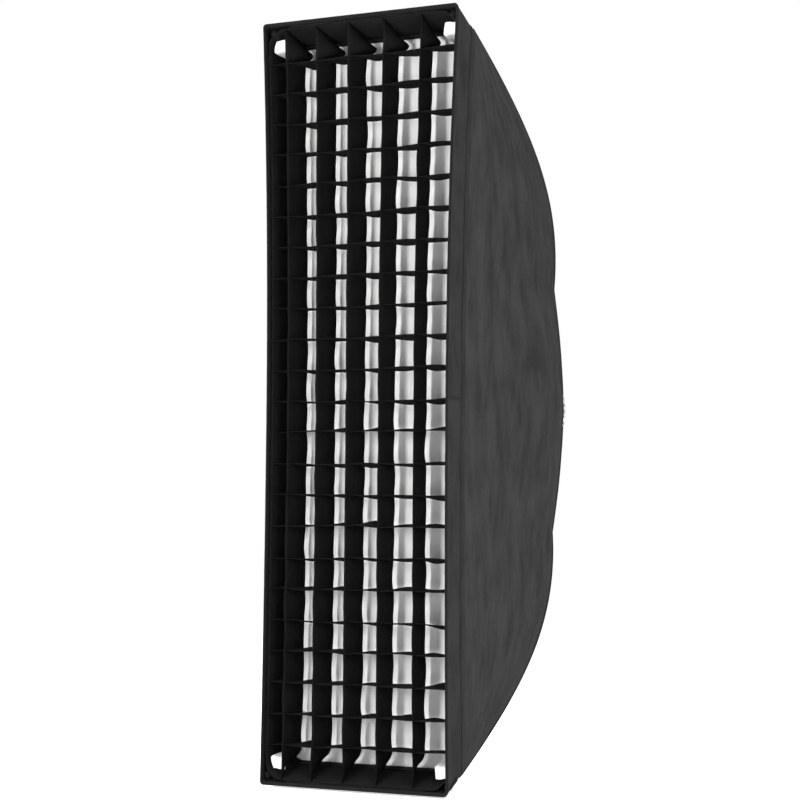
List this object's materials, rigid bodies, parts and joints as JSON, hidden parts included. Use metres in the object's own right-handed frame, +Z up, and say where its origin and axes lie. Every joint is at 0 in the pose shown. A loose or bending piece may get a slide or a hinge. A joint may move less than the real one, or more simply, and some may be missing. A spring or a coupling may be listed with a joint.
{
  "type": "strip softbox",
  "caption": "Tall rectangular fabric light box on bent rods, with a fabric grid over a white diffuser at the front and a round bayonet speedring behind.",
  "frame": {"origin": "centre of the object's bounding box, on the light axis, halfway between the front edge and the ends of the bayonet lugs", "axes": "+Y back along the light axis towards the lamp, +Z up the long side of the front, +X to the right seen from the front"},
  "size_m": [0.3596, 0.504, 1.2],
  "materials": {
    "black_nylon": "black coated woven nylon",
    "black_tape": "black woven tape",
    "grid_fabric": "dull black stiffened fabric",
    "white_nylon": "white translucent nylon",
    "spring_steel": "bright drawn spring steel",
    "cast_aluminium": "black semi-gloss coated cast aluminium",
    "chromed_steel": "bright plated steel",
    "brass": "turned brass",
    "black_plastic": "moulded black plastic"
  },
  "bodies": {
    "mount_insert": {"bayonet_insert": "chromed_steel"},
    "softbox_body": {"bottom_panel": "black_nylon", "corner_pocket_bottom_left": "black_tape", "corner_pocket_bottom_right": "black_tape", "corner_pocket_top_left": "black_tape", "corner_pocket_top_right": "black_tape", "front_hem": "black_tape", "lip_band": "black_nylon", "loop_tape_bottom": "black_tape", "loop_tape_left": "black_tape", "loop_tape_right": "black_tape", "loop_tape_top": "black_tape", "rear_collar": "black_tape", "retaining_screw_1": "chromed_steel", "retaining_screw_2": "chromed_steel", "retaining_screw_3": "chromed_steel", "retaining_screw_4": "chromed_steel", "retaining_washer_1": "chromed_steel", "retaining_washer_2": "chromed_steel", "retaining_washer_3": "chromed_steel", "retaining_washer_4": "chromed_steel", "rod_bottom_left": "spring_steel", "rod_bottom_right": "spring_steel", "rod_cap_bottom_left": "black_plastic", "rod_cap_bottom_right": "black_plastic", "rod_cap_top_left": "black_plastic", "rod_cap_top_right": "black_plastic", "rod_ferrule_bottom_left": "brass", "rod_ferrule_bottom_right": "brass", "rod_ferrule_top_left": "brass", "rod_ferrule_top_right": "brass", "rod_top_left": "spring_steel", "rod_top_right": "spring_steel", "seam_tab_bottom_left": "black_tape", "seam_tab_bottom_right": "black_tape", "seam_tab_top_left": "black_tape", "seam_tab_top_right": "black_tape", "side_panel_left": "black_nylon", "side_panel_right": "black_nylon", "speedring": "cast_aluminium", "top_panel": "black_nylon"},
    "lock_tip_top": {"lock_tip_top": "brass"},
    "lock_knob_top": {"lock_knob_top": "black_plastic"},
    "lock_tip_bottom": {"lock_tip_bottom": "brass"},
    "lock_knob_bottom": {"lock_knob_bottom": "black_plastic"},
    "baffle": {"baffle_strap_bottom_left": "black_tape", "baffle_strap_bottom_right": "black_tape", "baffle_strap_top_left": "black_tape", "baffle_strap_top_right": "black_tape", "inner_baffle": "white_nylon", "snap_button_bottom_left": "chromed_steel", "snap_button_bottom_right": "chromed_steel", "snap_button_top_left": "chromed_steel", "snap_button_top_right": "chromed_steel"},
    "diffuser": {"diffuser_hem": "black_tape", "front_diffuser": "white_nylon"},
    "grid": {"grid_border": "black_tape", "grid_cells": "grid_fabric"}
  },
  "joints": [
    {"name": "mount_rotate", "type": "hinge", "parent": "mount_insert", "child": "softbox_body", "pos_m": [0, 0, 0], "axis": [0, 1, 0], "continuous": true},
    {"name": "lock_tip_top_slide", "type": "slide", "parent": "softbox_body", "child": "lock_tip_top", "axis": [0, 0, 1], "range_m": [0, 0.0012]},
    {"name": "lock_knob_top_turn", "type": "hinge", "parent": "lock_tip_top", "child": "lock_knob_top", "pos_m": [0, 0.231, 0.1], "axis": [0, 0, 1], "range_deg": [0, 540]},
    {"name": "lock_tip_bottom_slide", "type": "slide", "parent": "softbox_body", "child": "lock_tip_bottom", "axis": [0, 0, -1], "range_m": [0, 0.0012]},
    {"name": "lock_knob_bottom_turn", "type": "hinge", "parent": "lock_tip_bottom", "child": "lock_knob_bottom", "pos_m": [0, 0.231, -0.1], "axis": [0, 0, -1], "range_deg": [0, 540]},
    {"name": "baffle_removal", "type": "slide", "parent": "softbox_body", "child": "baffle", "axis": [0, -1, 0], "range_m": [0, 0.3]},
    {"name": "diffuser_removal", "type": "slide", "parent": "baffle", "child": "diffuser", "axis": [0, -1, 0], "range_m": [0, 0.1]},
    {"name": "grid_removal", "type": "slide", "parent": "diffuser", "child": "grid", "axis": [0, -1, 0], "range_m": [0, 0.1]}
  ],
  "couplings": [
    {"joint": "lock_tip_top_slide", "follows": "lock_knob_top_turn", "m_per_rad": 0.00012732},
    {"joint": "lock_tip_bottom_slide", "follows": "lock_knob_bottom_turn", "m_per_rad": 0.00012732}
  ]
}
